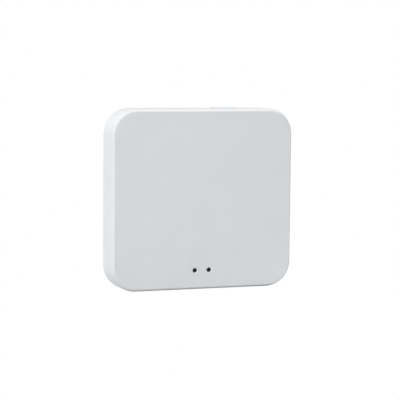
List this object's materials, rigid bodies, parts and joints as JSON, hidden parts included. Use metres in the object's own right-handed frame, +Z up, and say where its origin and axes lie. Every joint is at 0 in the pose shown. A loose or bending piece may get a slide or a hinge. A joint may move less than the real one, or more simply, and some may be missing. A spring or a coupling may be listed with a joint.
{
  "type": "smart home hub",
  "caption": "Thin white rounded-square smart home hub with two status lights in its face, a reset button on its upper edge and a power inlet in its side.",
  "frame": {"origin": "middle of the footprint, at the lowest point of the case as it stands on its lower edge", "axes": "+Z up towards the reset button, +Y from the front face to the rear cover, +X to the right seen from the front"},
  "size_m": [0.0636, 0.011, 0.0604],
  "materials": {
    "case_white": "fine moulded texture",
    "cover_white": "fine moulded texture",
    "button_white": "satin",
    "smoked_plastic": "polished",
    "led_lens": "clear lens on ceramic",
    "board_green": "solder mask on glass-fibre epoxy",
    "module_board": "solder mask on glass-fibre epoxy",
    "switch_black": "moulded",
    "plunger_black": "moulded",
    "steel_plate": "plated",
    "dome_steel": "bright",
    "tinned_leads": "tinned",
    "inlet_steel": "nickel plated",
    "inlet_black": "moulded",
    "contact_gold": "gold plated",
    "shield_steel": "tinned",
    "antenna_ceramic": "matt",
    "chip_black": "moulded epoxy",
    "ferrite_grey": "pressed ferrite",
    "tantalum_yellow": "moulded",
    "capacitor_tan": "matt",
    "resistor_black": "matt",
    "fuse_green": "matt",
    "screw_steel": "zinc plated",
    "foot_rubber": "matt",
    "label_silver": "matt polyester film"
  },
  "bodies": {
    "case": {"front_cover": "case_white", "rear_cover": "cover_white", "main_board": "board_green", "switch_body": "switch_black", "switch_frame": "steel_plate", "switch_dome": "dome_steel", "switch_terminals": "tinned_leads", "usb_shell": "inlet_steel", "usb_tongue": "inlet_black", "usb_contacts": "contact_gold", "left_light_pipe": "smoked_plastic", "right_light_pipe": "smoked_plastic", "left_status_led": "led_lens", "right_status_led": "led_lens", "wifi_board": "module_board", "wifi_chip": "chip_black", "wifi_shield": "shield_steel", "zigbee_board": "module_board", "zigbee_chip": "chip_black", "zigbee_shield": "shield_steel", "zigbee_antenna": "antenna_ceramic", "controller_chip": "chip_black", "controller_leads": "tinned_leads", "flash_chip": "chip_black", "flash_leads": "tinned_leads", "voltage_regulator": "chip_black", "regulator_leads": "tinned_leads", "power_inductor": "ferrite_grey", "bulk_capacitor": "tantalum_yellow", "ceramic_capacitors": "capacitor_tan", "chip_resistors": "resistor_black", "crystal": "shield_steel", "input_fuse": "fuse_green", "board_screws": "screw_steel", "case_screws": "screw_steel", "rubber_feet": "foot_rubber", "rating_label": "label_silver"},
    "button": {"reset_button": "button_white"},
    "plunger": {"switch_plunger": "plunger_black"}
  },
  "joints": [
    {"name": "button_press", "type": "slide", "parent": "case", "child": "button", "axis": [0, 0, -1], "range_m": [0, 0.0003], "stiffness_N_per_m": 400},
    {"name": "plunger_press", "type": "slide", "parent": "case", "child": "plunger", "axis": [0, 0, -1], "range_m": [0, 0.0003], "deforming": ["switch_dome"]}
  ],
  "couplings": [
    {"joint": "plunger_press", "follows": "button_press", "ratio": 1}
  ]
}
